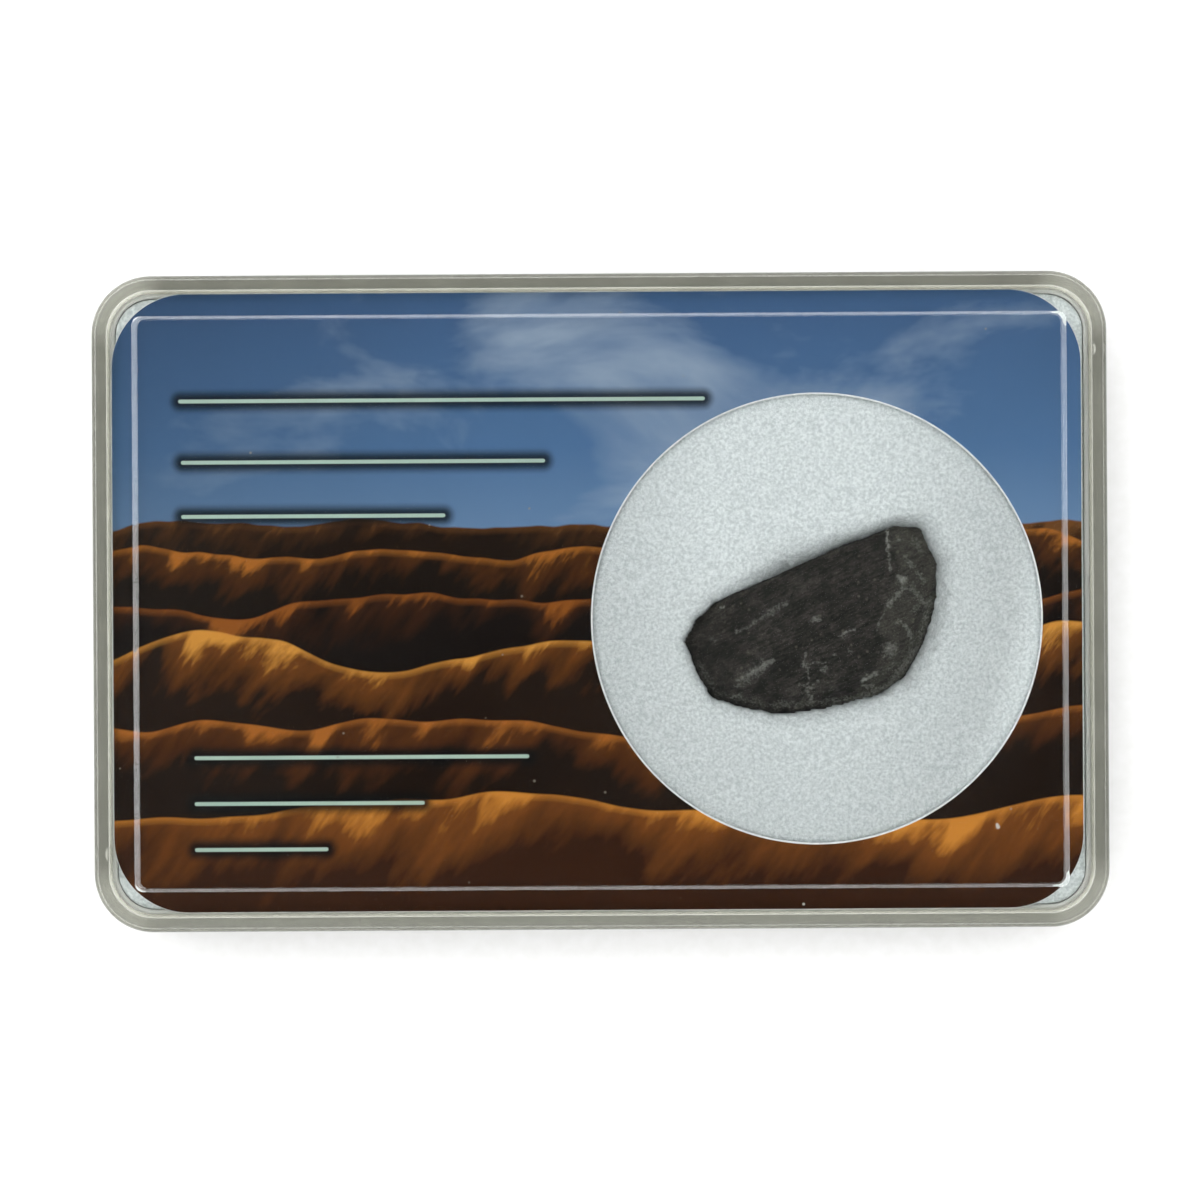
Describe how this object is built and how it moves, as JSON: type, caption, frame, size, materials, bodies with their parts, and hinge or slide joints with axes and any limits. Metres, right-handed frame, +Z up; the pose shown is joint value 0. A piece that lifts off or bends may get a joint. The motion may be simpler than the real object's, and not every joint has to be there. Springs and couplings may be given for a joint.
{
  "type": "boxed chondrite meteorite specimen",
  "caption": "Dark broken stone fragment pressed into white foam in a flat clear plastic box, under a printed card with a round window.",
  "frame": {"origin": "bottom centre of the closed box", "axes": "+X along the box's long side, +Y along its short side, +Z up out of the lid"},
  "size_m": [0.086, 0.0556, 0.013],
  "materials": {
    "clear_plastic": "clear polished",
    "foam": "soft matt",
    "printed_card": "satin",
    "stone": "dull broken"
  },
  "bodies": {
    "root": {"box_base": "clear_plastic", "box_lid": "clear_plastic", "foam_pad": "foam", "label_card": "printed_card", "meteorite": "stone"}
  },
  "joints": []
}
